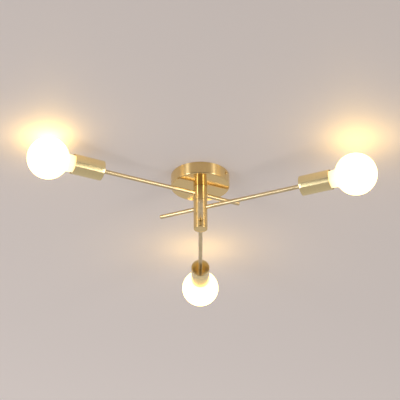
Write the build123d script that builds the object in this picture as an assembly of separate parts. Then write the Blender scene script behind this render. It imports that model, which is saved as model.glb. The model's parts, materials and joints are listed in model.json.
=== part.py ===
"""Semi flush ceiling light: three crossed arms on a turned stem, each with a globe lamp.

The frame is in millimetres, +Z up. The ceiling is the plane z = 0 and the light hangs
below it on the axis x = y = 0. Each arm is drawn along +X, at its distance from the
stem's axis, and is then turned and lowered to its place.
"""
import os
from math import cos, pi, radians, sin, sqrt, tan

from build123d import *

# --- driving dimensions ------------------------------------------------------------------

# canopy: a spun brass-plated cup, open towards the ceiling
CANOPY_DIA = 120.0
CANOPY_DEPTH = 26.0
CANOPY_WALL = 1.2
CANOPY_EDGE_RADIUS = 3.0
CANOPY_HOLE_CLEARANCE = 0.2

# ceiling bracket: a steel strap with two tabs that the canopy is screwed to
BRACKET_AZIMUTH = 331.0
BRACKET_WIDTH = 22.0
BRACKET_THICKNESS = 2.0
BRACKET_CLEARANCE = 0.8
TAB_WIDTH = 15.0
TAB_LENGTH = 15.0
BRACKET_BEND_RADIUS = 1.0
WIRE_HOLE_DIA = 16.0
FIXING_HOLE_DIA = 5.0
FIXING_HOLE_SPACING = 40.0
SLOT_WIDTH = 4.5
SLOT_LENGTH = 15.0
SLOT_SPACING = 80.0
SIDE_SCREW_DROP = 9.0
SIDE_SCREW_DIA = 4.0
SIDE_SCREW_REACH = 8.0
SIDE_SCREW_HEAD_DIA = 7.0
SIDE_SCREW_HEAD_HEIGHT = 2.4
GROUND_SCREW_OFFSET = -27.0
GROUND_SCREW_DIA = 4.0
GROUND_SCREW_HEAD_DIA = 8.0
GROUND_SCREW_HEAD_HEIGHT = 2.6
SCREW_HOLE_CLEARANCE = 0.25
SCREW_DOME_SHARE = 0.7
SCREW_SLOT_SHARE = 0.17

# stem: three blocks stacked on a threaded tube, each free to be turned to its angle
STEM_DIA = 28.0
HUB_PITCH = 32.0
HUB_SEAM = 0.25
HUB_CHAMFER = 0.3
TUBE_DIA = 10.0
TUBE_BORE = 7.4
TUBE_ABOVE_NUT = 4.8
TUBE_BELOW_NUT = 1.1
WINDOW_HEIGHT = 6.0
WINDOW_SWEEP = 100.0
RUNNING_CLEARANCE = 0.05
WASHER_DIA = 20.0
POCKET_WASHER_DIA = 18.0
WASHER_THICKNESS = 0.5
LOCK_WASHER_DIA = 18.0
LOCK_WASHER_THICKNESS = 1.0
LOCK_WASHER_TEETH = 12
SPRING_WASHER_DIA = 17.0
SPRING_WASHER_HEIGHT = 1.2
SPRING_WASHER_METAL = 0.6
STEM_NUT_FLATS = 14.0
STEM_NUT_HEIGHT = 3.5
NUT_CONE_ANGLE = 30.0
TOOTH_GAP_SHARE = 0.4
NUT_POCKET_DIA = 20.0
NUT_POCKET_DEPTH = 7.3
END_CAP_THICKNESS = 3.0
END_CAP_EDGE_RADIUS = 1.8
END_CAP_RING_HEIGHT = 2.5
END_CAP_RING_WALL = 1.0

# arms: the left, right and rear one, from the top of the stem down
ARM_AZIMUTHS = (207.0, 335.5, 90.0)
ROD_DIA = 8.5
ROD_BORE = 6.0
ROD_THREAD_DIA = 8.0
ROD_SEAT = 11.5
ROD_INNER_REACH = 7.2
ROD_SOCKET_CLEARANCE = 0.25
TAIL_REACH = 90.0
TAIL_END_RADIUS = 1.4
LEAD_DIA = 2.2
LEAD_BEND_RADIUS = 2.4
LEAD_GAP = 0.2
LEAD_RING_RADIUS = 2.4

# socket cups, wide enough for the lampholder with a gap round it
CUP_GAP = 1.5
CUP_LENGTH = 61.0
CUP_WALL = 1.0
CUP_WEB = 3.0
CUP_BACK = 215.5
CUP_EDGE_RADIUS = 0.8
CUP_NUT_FLATS = 13.0
CUP_NUT_HEIGHT = 4.0
CUP_WASHER_DIA = 16.0
CUP_WASHER_THICKNESS = 0.8
CUP_WASHER_TEETH = 12

# lampholder for an E27 screw cap
HOLDER_DIA = 35.0
HOLDER_BOSS_DIA = 15.0
HOLDER_BOSS_LENGTH = 4.0
HOLDER_ENTRY_LENGTH = 6.0
HOLDER_DOME_LENGTH = 17.0
HOLDER_DOME_EDGE_RADIUS = 2.0
HOLDER_WALL = 2.2
HOLDER_ENTRY_RIM = 1.5
HOLDER_MOUTH_CLEARANCE = 0.6
INSERT_LENGTH = 10.0
INSERT_FIT = 0.1
INSERT_LEAD_HOLE_DIA = 3.0
INSERT_LEAD_HOLE_SPACING = 15.3
INSERT_RECESS_DIA = 20.4
INSERT_RECESS_DEPTH = 3.3
INSERT_POST_DIA = 4.4
INSERT_RING_OVERLAP = 3.0
HOLDER_MOUTH_RIM = 0.15
SHELL_METAL = 0.6
SHELL_FLANGE = 3.5
THREAD_CLEARANCE = 0.15
CONTACT_RISE = 3.0
CONTACT_WIDTH = 6.0
CONTACT_METAL = 0.5
CONTACT_FOOT_REACH = 6.5
CONTACT_BEND_REACH = 2.2
CONTACT_SLOPE_REACH = 1.3
CONTACT_PAD_REACH = 3.9
TERMINAL_SCREW_DIA = 3.0
TERMINAL_SCREW_HEAD_DIA = 5.7
TERMINAL_SCREW_HEAD_HEIGHT = 1.5
TERMINAL_SCREW_SPACING = 20.0

# globe lamp with an E27 screw cap
GLOBE_DIA = 81.0
GLASS_WALL = 1.0
NECK_DIA = 33.5
NECK_LENGTH = 10.7
NECK_FILLET = 8.0
NECK_TAPER = 3.0
CAP_DIA = 26.2
CAP_METAL = 0.4
CAP_THREAD_LENGTH = 16.0
CAP_CONE_LENGTH = 1.0
CAP_STEP_LENGTH = 0.5
CAP_SKIRT_DIA = 27.2
CAP_SKIRT_LENGTH = 3.0
TIP_DIA = 9.6
TIP_HEIGHT = 1.4
TIP_EDGE_RADIUS = 1.1
INSULATOR_HEIGHT = 3.6
INSULATOR_DIA = 23.0
INSULATOR_RIM = 1.2
INSULATOR_REACH = 1.5
DRIVER_CLEARANCE = 0.2
LED_STEM_DIA = 12.0
LED_BOARD_DIA = 28.0
LED_BOARD_THICKNESS = 2.0
LED_BOARD_REACH = 17.0
DRIVER_LENGTH = 14.0

# terminal block in the canopy
TERMINAL_WIDTH = 34.0
TERMINAL_DEPTH = 17.0
TERMINAL_HEIGHT = 12.0
TERMINAL_OFFSET = 32.0
TERMINAL_POLES = 4
TERMINAL_POLE_PITCH = 8.0
TERMINAL_EDGE_RADIUS = 1.5
TERMINAL_GROOVE_WIDTH = 1.2
TERMINAL_GROOVE_DEPTH = 1.5
TERMINAL_WELL_DIA = 5.0
TERMINAL_WELL_DEPTH = 2.0
LEAD_RISE = 9.0
LEAD_CROSSING = 2.4
EARTH_LEAD_DIA = 1.8
EARTH_LEAD_BEND_RADIUS = 3.0
EARTH_LEAD_STRAIGHT = 12.0
EARTH_LUG_THICKNESS = 0.8
EARTH_TONGUE_WIDTH = 3.0
EARTH_TONGUE_LENGTH = 5.0
EARTH_TONGUE_ROOT = 0.6
EARTH_CRIMP_LENGTH = 2.5

# gaps left between pieces that only touch
FACE_GAP = 0.05

# --- what follows from them --------------------------------------------------------------

ARM_COUNT = len(ARM_AZIMUTHS)
CANOPY_FLOOR = -CANOPY_DEPTH + CANOPY_WALL
STACK_BOTTOM = -CANOPY_DEPTH - ARM_COUNT * HUB_PITCH + END_CAP_THICKNESS
NUT_POCKET_ROOF = STACK_BOTTOM + NUT_POCKET_DEPTH
WASHER_RECESS = WASHER_THICKNESS + 2 * FACE_GAP - HUB_SEAM
TUBE_HOLE_DIA = TUBE_DIA + 2 * RUNNING_CLEARANCE
TOP_NUT_BASE = CANOPY_FLOOR + LOCK_WASHER_THICKNESS
TUBE_TOP = TOP_NUT_BASE + STEM_NUT_HEIGHT + TUBE_ABOVE_NUT
POCKET_WASHER_TOP = NUT_POCKET_ROOF - FACE_GAP
SPRING_WASHER_TOP = POCKET_WASHER_TOP - WASHER_THICKNESS - FACE_GAP
LOW_NUT_TOP = SPRING_WASHER_TOP - SPRING_WASHER_HEIGHT - FACE_GAP
TUBE_BOTTOM = LOW_NUT_TOP - STEM_NUT_HEIGHT - TUBE_BELOW_NUT

THREAD_HOLE_DIA = ROD_THREAD_DIA + 2 * RUNNING_CLEARANCE
CUP_DIA = HOLDER_DIA + 2 * (CUP_GAP + CUP_WALL)
CUP_MOUTH = CUP_BACK + CUP_LENGTH
CUP_FLOOR = CUP_BACK + CUP_WEB
CUP_NUT_START = CUP_FLOOR + CUP_WASHER_THICKNESS
HOLDER_START = CUP_NUT_START + CUP_NUT_HEIGHT
ROD_OUTER_END = HOLDER_START + HOLDER_ENTRY_LENGTH
DOME_END = HOLDER_START + HOLDER_DOME_LENGTH
INSERT_DIA = HOLDER_DIA - 2 * HOLDER_WALL
INSERT_END = DOME_END + INSERT_RING_OVERLAP
INSERT_START = INSERT_END - INSERT_LENGTH

LAMP_TIP = INSERT_END + CONTACT_RISE
INSULATOR_START = LAMP_TIP + TIP_HEIGHT + FACE_GAP
THREAD_START = INSULATOR_START + INSULATOR_HEIGHT
THREAD_END = THREAD_START + CAP_THREAD_LENGTH
CAP_BACK_END = THREAD_START - INSULATOR_HEIGHT / 4
INSULATOR_END = THREAD_START + INSULATOR_REACH
SKIRT_END = THREAD_END + CAP_SKIRT_LENGTH
HOLDER_MOUTH = SKIRT_END + HOLDER_MOUTH_RIM
NECK_START = THREAD_END + CAP_SKIRT_LENGTH / 2
NECK_END = SKIRT_END + FACE_GAP + NECK_TAPER + NECK_LENGTH
GLOBE_CENTRE = NECK_END + sqrt(
    (GLOBE_DIA / 2 + NECK_FILLET) ** 2 - (NECK_DIA / 2 + NECK_FILLET) ** 2)
SHELL_BORE = CAP_DIA + 2 * THREAD_CLEARANCE
SHELL_DIA = SHELL_BORE + 2 * SHELL_METAL


def hub_top(index):
    """Height of the top face of a stem block, counted from 0 at the canopy."""
    return -CANOPY_DEPTH - index * HUB_PITCH - HUB_SEAM


def hub_bottom(index):
    """Height of the bottom face of a stem block; the end cap takes part of the last share."""
    return max(-CANOPY_DEPTH - (index + 1) * HUB_PITCH, STACK_BOTTOM)


def arm_height(index):
    """Height of an arm's centre line, at the middle of its block's share of the stem."""
    return -CANOPY_DEPTH - (index + 0.5) * HUB_PITCH


# --- helpers ------------------------------------------------------------------------------

def soften(face, radius, *corners):
    """Round the corners of a flat face that lie nearest to the given points."""
    vertices = [face.vertices().sort_by_distance(corner)[0] for corner in corners]
    return fillet(vertices, radius)


def turned_along_x(face):
    """Turn a profile, drawn as (distance along X, radius), into a solid about X."""
    return revolve(face, Axis.X, 360)


def turned_along_z(face):
    """Turn a profile, drawn as (radius, height), into a solid about Z."""
    return revolve(Plane.XZ * face, Axis.Z, 360)


def outline(*points):
    """A flat face with straight sides through the given points."""
    return make_face(Polyline(*points, close=True))


def band(start, end, inner, outer):
    """Profile of a ring between two distances and two radii, drawn along X."""
    return outline((start, inner), (end, inner), (end, outer), (start, outer))


def tube_along_x(start, end, inner, outer):
    """A ring or, with an inner radius of 0, a disc or rod along X."""
    return turned_along_x(band(start, end, inner, outer))


def tube_along_z(bottom, top, inner, outer):
    """A ring or disc along Z."""
    return turned_along_z(outline((inner, bottom), (outer, bottom), (outer, top), (inner, top)))


def hex_nut(flats, height, hole_dia):
    """A hexagon nut standing on z = 0, its corners rounded by the usual top cone."""
    corner_radius = flats / sqrt(3)
    body = extrude(RegularPolygon(corner_radius, 6), height)
    cone_drop = (corner_radius - flats / 2) * tan(radians(NUT_CONE_ANGLE))
    blank = turned_along_z(outline((0, 0), (corner_radius - cone_drop / 2, 0),
                                   (corner_radius, cone_drop), (corner_radius, height - cone_drop),
                                   (flats / 2, height), (0, height)))
    return (body & blank) - Cylinder(hole_dia / 2, 3 * height)


def toothed_washer(outer_dia, hole_dia, thickness, teeth):
    """A flat lock washer on z = 0 with teeth cut into its rim."""
    ring = tube_along_z(0, thickness, hole_dia / 2, outer_dia / 2)
    gap_width = outer_dia * pi / teeth * TOOTH_GAP_SHARE
    gap_depth = (outer_dia - hole_dia) / 2 * TOOTH_GAP_SHARE
    gap = Box(2 * gap_depth, gap_width, 3 * thickness)
    for tooth in range(teeth):
        ring -= Rot(0, 0, 360 / teeth * tooth) * Pos(outer_dia / 2, 0, 0) * gap
    return ring


def lead(points, radius, dia):
    """A round lead swept along straight runs joined by tangent arcs."""
    path = FilletPolyline(*points, radius=radius)
    start = Plane(origin=path @ 0, z_dir=path % 0)
    return sweep(start * Circle(dia / 2), path=path)


def placed_on_arm(index, piece):
    """Turn a piece drawn along +X to its arm's direction and lower it to the arm."""
    return Pos(0, 0, arm_height(index)) * Rot(0, 0, ARM_AZIMUTHS[index]) * piece


def along_x(piece):
    """Lay a piece that stands on z = 0 so that its axis runs along +X."""
    return Rot(0, 90, 0) * piece


# --- canopy and bracket ---------------------------------------------------------------------

def make_canopy():
    """The canopy: a shallow cup with a rolled lower edge, a tube hole and two screw holes."""
    outer, wall = CANOPY_DIA / 2, CANOPY_WALL
    hole = TUBE_DIA / 2 + CANOPY_HOLE_CLEARANCE
    profile = outline((hole, -CANOPY_DEPTH), (outer, -CANOPY_DEPTH), (outer, 0),
                      (outer - wall, 0), (outer - wall, CANOPY_FLOOR), (hole, CANOPY_FLOOR))
    profile = soften(profile, CANOPY_EDGE_RADIUS, (outer, -CANOPY_DEPTH))
    profile = soften(profile, CANOPY_EDGE_RADIUS - wall, (outer - wall, CANOPY_FLOOR))
    cup = turned_along_z(profile)
    screw_hole = Cylinder(SIDE_SCREW_DIA / 2 + SCREW_HOLE_CLEARANCE, 2 * CANOPY_DIA,
                          rotation=(0, 90, 0))
    return cup - Rot(0, 0, BRACKET_AZIMUTH) * Pos(0, 0, -SIDE_SCREW_DROP) * screw_hole


def bracket_reach():
    """Distance from the axis to the outer face of a bracket tab."""
    return CANOPY_DIA / 2 - CANOPY_WALL - BRACKET_CLEARANCE


def make_bracket():
    """The steel strap against the ceiling, with its tabs bent down inside the canopy."""
    reach, metal = bracket_reach(), BRACKET_THICKNESS
    inner = reach - metal
    profile = outline((-reach, -TAB_LENGTH), (-reach, 0), (reach, 0), (reach, -TAB_LENGTH),
                      (inner, -TAB_LENGTH), (inner, -metal), (-inner, -metal),
                      (-inner, -TAB_LENGTH))
    outer_bend = BRACKET_BEND_RADIUS + metal
    profile = soften(profile, outer_bend, (-reach, 0), (reach, 0))
    profile = soften(profile, BRACKET_BEND_RADIUS, (-inner, -metal), (inner, -metal))
    strap = extrude(Plane.XZ * profile, BRACKET_WIDTH / 2, both=True)
    trim = (BRACKET_WIDTH - TAB_WIDTH) / 2
    for side in (-1, 1):
        for end in (-1, 1):
            corner = Box(2 * outer_bend, 2 * trim, 4 * TAB_LENGTH)
            strap -= Pos(end * reach, side * BRACKET_WIDTH / 2, 0) * corner
    through = 4 * metal
    strap -= Cylinder(WIRE_HOLE_DIA / 2, through)
    for end in (-1, 1):
        strap -= Pos(end * FIXING_HOLE_SPACING / 2, 0, 0) * Cylinder(FIXING_HOLE_DIA / 2, through)
        slot = extrude(SlotOverall(SLOT_LENGTH, SLOT_WIDTH), through / 2, both=True)
        strap -= Pos(end * SLOT_SPACING / 2, 0, 0) * slot
    strap -= Pos(GROUND_SCREW_OFFSET, 0, 0) * Cylinder(
        GROUND_SCREW_DIA / 2 + RUNNING_CLEARANCE, through)
    tapped = Cylinder(SIDE_SCREW_DIA / 2 + RUNNING_CLEARANCE, 2 * CANOPY_DIA, rotation=(0, 90, 0))
    strap -= Pos(0, 0, -SIDE_SCREW_DROP) * tapped
    return Rot(0, 0, BRACKET_AZIMUTH) * strap


def screw_blank(shank_dia, shank_length, head_dia, head_height):
    """A domed, slotted screw along +X, its head standing on x = 0 and its shank behind."""
    head = outline((-shank_length, 0), (-shank_length, shank_dia / 2), (0, shank_dia / 2),
                   (0, head_dia / 2), (head_height, head_dia / 2), (head_height, 0))
    head = soften(head, head_height * SCREW_DOME_SHARE, (head_height, head_dia / 2))
    slot = Box(head_height, 2 * head_dia, head_dia * SCREW_SLOT_SHARE)
    return turned_along_x(head) - Pos(head_height, 0, 0) * slot


def make_side_screws():
    """The two screws through the canopy's wall into the bracket's tabs."""
    seat = CANOPY_DIA / 2 + FACE_GAP
    screw = Pos(seat, 0, -SIDE_SCREW_DROP) * screw_blank(
        SIDE_SCREW_DIA, SIDE_SCREW_REACH, SIDE_SCREW_HEAD_DIA, SIDE_SCREW_HEAD_HEIGHT)
    return [Rot(0, 0, BRACKET_AZIMUTH + turn) * screw for turn in (0, 180)]


def make_ground_screw():
    """The earth screw up into the strap, head down."""
    shank = BRACKET_THICKNESS + EARTH_LUG_THICKNESS
    screw = Rot(0, 90, 0) * screw_blank(GROUND_SCREW_DIA, shank, GROUND_SCREW_HEAD_DIA,
                                        GROUND_SCREW_HEAD_HEIGHT)
    place = Pos(GROUND_SCREW_OFFSET, 0, -shank)
    return Rot(0, 0, BRACKET_AZIMUTH) * place * screw


def terminal_pole(pole):
    """Centre of a terminal pole in the bracket's own directions."""
    return (pole - (TERMINAL_POLES - 1) / 2) * TERMINAL_POLE_PITCH, -TERMINAL_OFFSET


def make_terminal_block():
    """A moulded terminal strip with a screw well over each pole, on the canopy's floor."""
    body = Pos(0, -TERMINAL_OFFSET, CANOPY_FLOOR + TERMINAL_HEIGHT / 2) * Box(
        TERMINAL_WIDTH, TERMINAL_DEPTH, TERMINAL_HEIGHT)
    body = fillet(body.edges().filter_by(Axis.Z), TERMINAL_EDGE_RADIUS)
    top = CANOPY_FLOOR + TERMINAL_HEIGHT
    for pole in range(TERMINAL_POLES):
        across, along = terminal_pole(pole)
        body -= Pos(across, along, top) * Cylinder(TERMINAL_WELL_DIA / 2, 2 * TERMINAL_WELL_DEPTH)
    groove = Box(TERMINAL_GROOVE_WIDTH, 2 * TERMINAL_DEPTH, 2 * TERMINAL_GROOVE_DEPTH)
    for gap in range(TERMINAL_POLES - 1):
        across = terminal_pole(gap)[0] + TERMINAL_POLE_PITCH / 2
        body -= Pos(across, -TERMINAL_OFFSET, top) * groove
    return Rot(0, 0, BRACKET_AZIMUTH) * body


def make_earth_lead():
    """The earth lead's lug under its screw, and its run down to the terminal block."""
    lug_top = -BRACKET_THICKNESS
    lug_bottom = lug_top - EARTH_LUG_THICKNESS
    lug = Pos(GROUND_SCREW_OFFSET, 0, lug_bottom) * tube_along_z(
        0, EARTH_LUG_THICKNESS, GROUND_SCREW_DIA / 2 + RUNNING_CLEARANCE,
        GROUND_SCREW_HEAD_DIA / 2)
    tongue_start = GROUND_SCREW_HEAD_DIA / 2 - EARTH_TONGUE_ROOT
    tongue_end = GROUND_SCREW_HEAD_DIA / 2 + EARTH_TONGUE_LENGTH
    tongue = Box(EARTH_TONGUE_WIDTH, tongue_end - tongue_start, EARTH_LUG_THICKNESS)
    lug += Pos(GROUND_SCREW_OFFSET, -(tongue_start + tongue_end) / 2,
               (lug_top + lug_bottom) / 2) * tongue
    across, along = terminal_pole(0)
    mid = (lug_top + lug_bottom) / 2 - (EARTH_LUG_THICKNESS + EARTH_LEAD_DIA) / 2
    well_floor = CANOPY_FLOOR + TERMINAL_HEIGHT - TERMINAL_WELL_DEPTH
    first = EARTH_CRIMP_LENGTH - tongue_end
    bend = first - EARTH_LEAD_STRAIGHT
    wire = lead([(GROUND_SCREW_OFFSET, first, mid), (GROUND_SCREW_OFFSET, bend, mid),
                 (across, along, mid), (across, along, well_floor)],
                EARTH_LEAD_BEND_RADIUS, EARTH_LEAD_DIA)
    turn = Rot(0, 0, BRACKET_AZIMUTH)
    return [turn * lug, turn * wire]


# --- stem -------------------------------------------------------------------------------------

def make_stem_tube():
    """The hollow threaded tube, with a side window at each arm for its lead."""
    tube = tube_along_z(TUBE_BOTTOM, TUBE_TOP, TUBE_BORE / 2, TUBE_DIA / 2)
    half = radians(WINDOW_SWEEP / 2)
    reach = TUBE_DIA
    wedge = outline((0, 0), (reach * cos(half), -reach * sin(half)), (2 * reach, 0),
                    (reach * cos(half), reach * sin(half)))
    window = extrude(wedge, WINDOW_HEIGHT / 2, both=True)
    for index, azimuth in enumerate(ARM_AZIMUTHS):
        tube -= Pos(0, 0, arm_height(index)) * Rot(0, 0, azimuth) * window
    return tube


def make_stem_nuts():
    """The nut inside the canopy and the nut in the lowest block's pocket."""
    nut = hex_nut(STEM_NUT_FLATS, STEM_NUT_HEIGHT, TUBE_HOLE_DIA)
    return [Pos(0, 0, TOP_NUT_BASE) * nut, Pos(0, 0, LOW_NUT_TOP - STEM_NUT_HEIGHT) * nut]


def make_lock_washer():
    """The toothed washer under the canopy's nut."""
    washer = toothed_washer(LOCK_WASHER_DIA, TUBE_HOLE_DIA, LOCK_WASHER_THICKNESS,
                            LOCK_WASHER_TEETH)
    return Pos(0, 0, CANOPY_FLOOR) * washer


def make_friction_washers():
    """A thin plastic washer over each block, and one in the lowest block's pocket."""
    hole, rim = TUBE_HOLE_DIA / 2 + FACE_GAP, WASHER_DIA / 2 - FACE_GAP
    tops = [hub_top(index) + HUB_SEAM - FACE_GAP for index in range(ARM_COUNT)]
    washers = [tube_along_z(top - WASHER_THICKNESS, top, hole, rim) for top in tops]
    pocket_washer = tube_along_z(POCKET_WASHER_TOP - WASHER_THICKNESS, POCKET_WASHER_TOP, hole,
                                 POCKET_WASHER_DIA / 2)
    return washers + [pocket_washer]


def make_spring_washer():
    """The coned spring washer that keeps the stack of blocks pressed together."""
    inner, outer = TUBE_HOLE_DIA / 2 + FACE_GAP, SPRING_WASHER_DIA / 2
    top, low = SPRING_WASHER_TOP, SPRING_WASHER_TOP - SPRING_WASHER_HEIGHT
    return turned_along_z(outline((inner, low), (inner, low + SPRING_WASHER_METAL),
                                  (outer, top), (outer, top - SPRING_WASHER_METAL)))


def make_hub(index):
    """A block of the stem: its bore, washer recess, two rod sockets and lead hole."""
    radius = STEM_DIA / 2
    top, bottom = hub_top(index), hub_bottom(index)
    profile = outline((TUBE_HOLE_DIA / 2, bottom), (radius, bottom), (radius, top),
                      (WASHER_DIA / 2, top), (WASHER_DIA / 2, top - WASHER_RECESS),
                      (TUBE_HOLE_DIA / 2, top - WASHER_RECESS))
    block = turned_along_z(profile)
    rims = block.edges().filter_by(GeomType.CIRCLE).filter_by(
        lambda edge: abs(edge.radius - radius) < FACE_GAP)
    block = chamfer(rims, HUB_CHAMFER)
    socket = tube_along_x(ROD_INNER_REACH - LEAD_GAP, STEM_DIA, 0, THREAD_HOLE_DIA / 2)
    mouth = tube_along_x(ROD_SEAT, STEM_DIA, 0, ROD_DIA / 2 + ROD_SOCKET_CLEARANCE)
    lead_hole = tube_along_x(0, STEM_DIA / 2, 0, ROD_BORE / 2)
    for turn in (0, 180):
        block -= placed_on_arm(index, Rot(0, 0, turn) * (socket + mouth))
    block -= placed_on_arm(index, lead_hole)
    if index == ARM_COUNT - 1:
        block -= tube_along_z(STACK_BOTTOM, NUT_POCKET_ROOF, 0, NUT_POCKET_DIA / 2)
    return block


def make_end_cap():
    """The cap that closes the stem, screwed into the lowest block's pocket."""
    radius = STEM_DIA / 2
    ring_outer = NUT_POCKET_DIA / 2 - 2 * RUNNING_CLEARANCE
    ring_inner = ring_outer - END_CAP_RING_WALL
    bottom, ring_top = STACK_BOTTOM - END_CAP_THICKNESS, STACK_BOTTOM + END_CAP_RING_HEIGHT
    profile = outline((0, bottom), (radius, bottom), (radius, STACK_BOTTOM),
                      (ring_outer, STACK_BOTTOM), (ring_outer, ring_top), (ring_inner, ring_top),
                      (ring_inner, STACK_BOTTOM), (0, STACK_BOTTOM))
    return turned_along_z(soften(profile, END_CAP_EDGE_RADIUS, (radius, bottom)))


def make_stem_leads():
    """One lead for each arm, from its terminal, down the tube and out of its window."""
    well_floor = CANOPY_FLOOR + TERMINAL_HEIGHT - TERMINAL_WELL_DEPTH
    bracket = radians(BRACKET_AZIMUTH)
    leads = []
    for index, azimuth in enumerate(ARM_AZIMUTHS):
        crosses_over = index == ARM_COUNT - 1
        rise = -LEAD_RISE + (LEAD_CROSSING if crosses_over else 0)
        turn = radians(azimuth)
        side = Vector(cos(turn), sin(turn), 0)
        across, along = terminal_pole(index + 1)
        pole = Vector(across * cos(bracket) - along * sin(bracket),
                      across * sin(bracket) + along * cos(bracket), 0)
        window = side * (TUBE_DIA / 2 - FACE_GAP) + Vector(0, 0, arm_height(index))
        corner = side * LEAD_RING_RADIUS + Vector(0, 0, arm_height(index))
        over_tube = side * LEAD_RING_RADIUS + Vector(0, 0, rise)
        over_pole = pole + Vector(0, 0, rise)
        down = pole + Vector(0, 0, well_floor)
        leads.append(lead([window, corner, over_tube, over_pole, down],
                          LEAD_BEND_RADIUS, LEAD_DIA))
    return leads


# --- arms --------------------------------------------------------------------------------------

def make_arm_rod():
    """The hollow arm rod, threaded at both ends."""
    bore, body, thread = ROD_BORE / 2, ROD_DIA / 2, ROD_THREAD_DIA / 2
    return turned_along_x(outline(
        (ROD_INNER_REACH, bore), (ROD_INNER_REACH, thread), (ROD_SEAT, thread), (ROD_SEAT, body),
        (CUP_BACK, body), (CUP_BACK, thread), (ROD_OUTER_END, thread), (ROD_OUTER_END, bore)))


def make_tail_rod():
    """The solid rod that balances the arm on the other side of the stem."""
    body, thread = ROD_DIA / 2, ROD_THREAD_DIA / 2
    profile = outline((-ROD_INNER_REACH, 0), (-ROD_INNER_REACH, thread), (-ROD_SEAT, thread),
                      (-ROD_SEAT, body), (-TAIL_REACH, body), (-TAIL_REACH, 0))
    return turned_along_x(soften(profile, TAIL_END_RADIUS, (-TAIL_REACH, body)))


def make_arm_lead():
    """The lead inside the arm, from the stem tube's window to the lampholder."""
    return tube_along_x(TUBE_DIA / 2 + LEAD_GAP, INSERT_START - FACE_GAP, 0, LEAD_DIA / 2)


def make_socket_cup():
    """The straight cup that hides the lampholder."""
    outer, inner = CUP_DIA / 2, CUP_DIA / 2 - CUP_WALL
    profile = outline((CUP_BACK, THREAD_HOLE_DIA / 2), (CUP_BACK, outer), (CUP_MOUTH, outer),
                      (CUP_MOUTH, inner), (CUP_FLOOR, inner), (CUP_FLOOR, THREAD_HOLE_DIA / 2))
    profile = soften(profile, CUP_EDGE_RADIUS, (CUP_BACK, outer))
    profile = soften(profile, CUP_EDGE_RADIUS, (CUP_FLOOR, inner))
    return turned_along_x(profile)


def make_cup_nut():
    """The nut and toothed washer that fasten the cup to the rod."""
    washer = toothed_washer(CUP_WASHER_DIA, THREAD_HOLE_DIA, CUP_WASHER_THICKNESS,
                            CUP_WASHER_TEETH)
    nut = hex_nut(CUP_NUT_FLATS, CUP_NUT_HEIGHT, THREAD_HOLE_DIA)
    return [Pos(CUP_FLOOR, 0, 0) * along_x(washer), Pos(CUP_NUT_START, 0, 0) * along_x(nut)]


def make_holder_dome():
    """The lampholder's back: a threaded entry boss that widens to the body."""
    entry, boss = THREAD_HOLE_DIA / 2, HOLDER_BOSS_DIA / 2
    body, inner = HOLDER_DIA / 2, INSERT_DIA / 2 + INSERT_FIT
    shoulder = HOLDER_START + HOLDER_BOSS_LENGTH
    slope_end = shoulder + HOLDER_BOSS_LENGTH
    chamber = ROD_OUTER_END + HOLDER_WALL
    profile = outline((HOLDER_START, entry), (HOLDER_START, boss), (shoulder, boss),
                      (slope_end, body), (DOME_END, body), (DOME_END, inner), (chamber, inner),
                      (ROD_OUTER_END + FACE_GAP, entry + HOLDER_ENTRY_RIM),
                      (ROD_OUTER_END + FACE_GAP, entry))
    profile = soften(profile, HOLDER_DOME_EDGE_RADIUS, (slope_end, body), (shoulder, boss))
    return turned_along_x(profile)


def make_holder_insert():
    """The ceramic insert that carries the contacts, with holes for the lead's two cores."""
    disc = tube_along_x(INSERT_START, INSERT_END, 0, INSERT_DIA / 2)
    recess = tube_along_x(INSERT_START, INSERT_START + INSERT_RECESS_DEPTH, 0,
                          INSERT_RECESS_DIA / 2)
    hole = tube_along_x(INSERT_START, INSERT_END, 0, INSERT_LEAD_HOLE_DIA / 2)
    holes = [Pos(0, 0, side * INSERT_LEAD_HOLE_SPACING / 2) * hole for side in (-1, 1)]
    screw_hole = tube_along_x(INSERT_START, INSERT_END, 0,
                              TERMINAL_SCREW_DIA / 2 + RUNNING_CLEARANCE)
    screw_holes = [Pos(0, side * TERMINAL_SCREW_SPACING / 2, 0) * screw_hole for side in (-1, 1)]
    post = tube_along_x(INSERT_START, INSERT_END, 0, INSERT_POST_DIA / 2)
    return (disc - recess + post) - holes - screw_holes


def make_holder_ring():
    """The moulded ring that screws onto the dome and backs the brass shell."""
    outer = HOLDER_DIA / 2
    lower, seat = INSERT_DIA / 2 + INSERT_FIT, SHELL_DIA / 2 + FACE_GAP
    mouth = CAP_SKIRT_DIA / 2 + HOLDER_MOUTH_CLEARANCE
    step = INSERT_END + FACE_GAP
    profile = outline((DOME_END, outer), (HOLDER_MOUTH, outer), (HOLDER_MOUTH, mouth),
                      (THREAD_END, mouth), (THREAD_END, seat), (step, seat), (step, lower),
                      (DOME_END, lower))
    profile = soften(profile, HOLDER_DOME_EDGE_RADIUS / 2, (HOLDER_MOUTH, outer))
    return turned_along_x(profile)


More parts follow.
